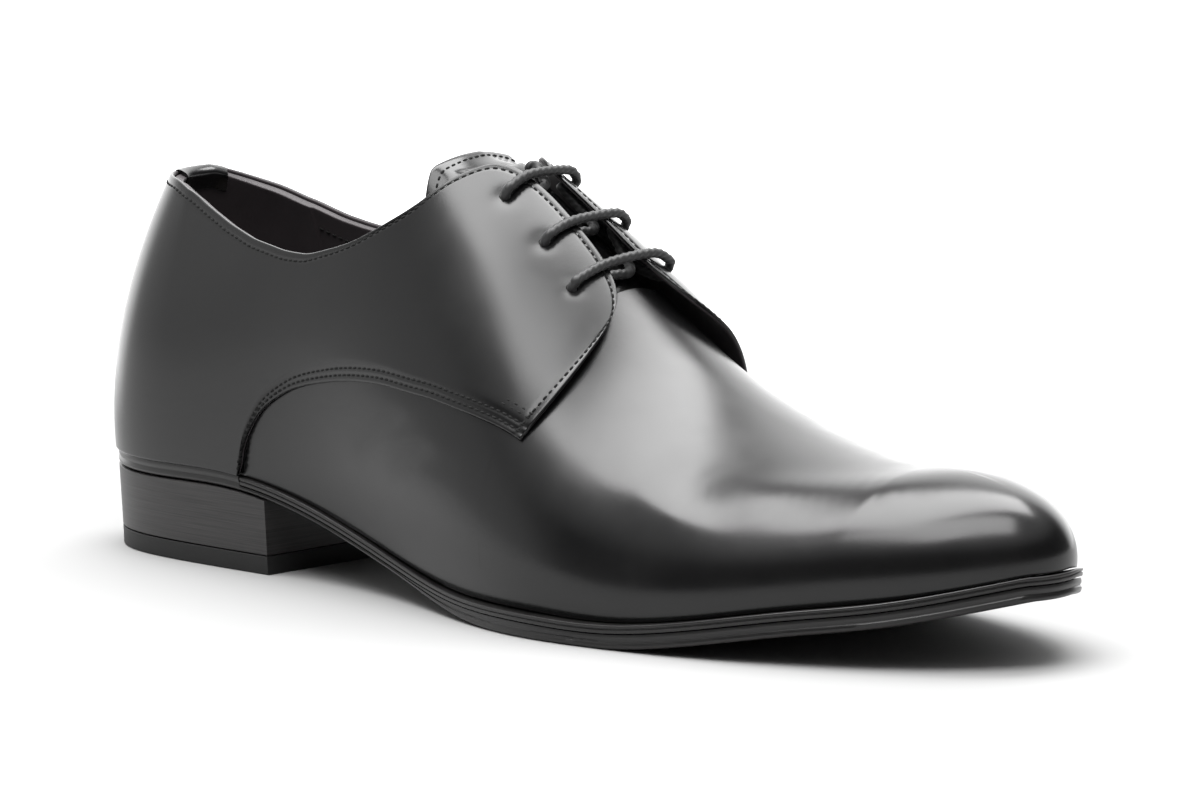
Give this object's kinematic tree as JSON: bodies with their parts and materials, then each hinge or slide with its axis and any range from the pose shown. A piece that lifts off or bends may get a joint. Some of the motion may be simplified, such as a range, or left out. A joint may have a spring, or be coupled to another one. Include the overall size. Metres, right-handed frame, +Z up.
{
  "type": "leather dress shoe",
  "caption": "Black open-laced leather dress shoe for the right foot, with a hollow lasted upper, overlaid quarters, round lace, welted leather sole and stacked heel.",
  "frame": {"origin": "on the floor under the centre of the heel, on the underside of the heel's rubber piece", "axes": "+X from heel to toe, +Y to the inner (medial) side, +Z up"},
  "size_m": [0.3074, 0.098, 0.106],
  "materials": {
    "calf": "polished black calf leather",
    "lining": "matt dark lining leather",
    "sole_edge": "black burnished sole leather",
    "heel_leather": "stacked leather with fine level streaks, dyed charcoal",
    "rubber": "matt black rubber",
    "cord": "round waxed cotton cord"
  },
  "bodies": {
    "root": {"upper": "calf", "quarter_lateral": "calf", "quarter_medial": "calf", "tongue": "calf", "lace": "cord", "insole": "lining", "welt": "sole_edge", "outsole": "sole_edge", "heel_stack": "heel_leather", "heel_top_piece": "rubber"}
  },
  "joints": []
}
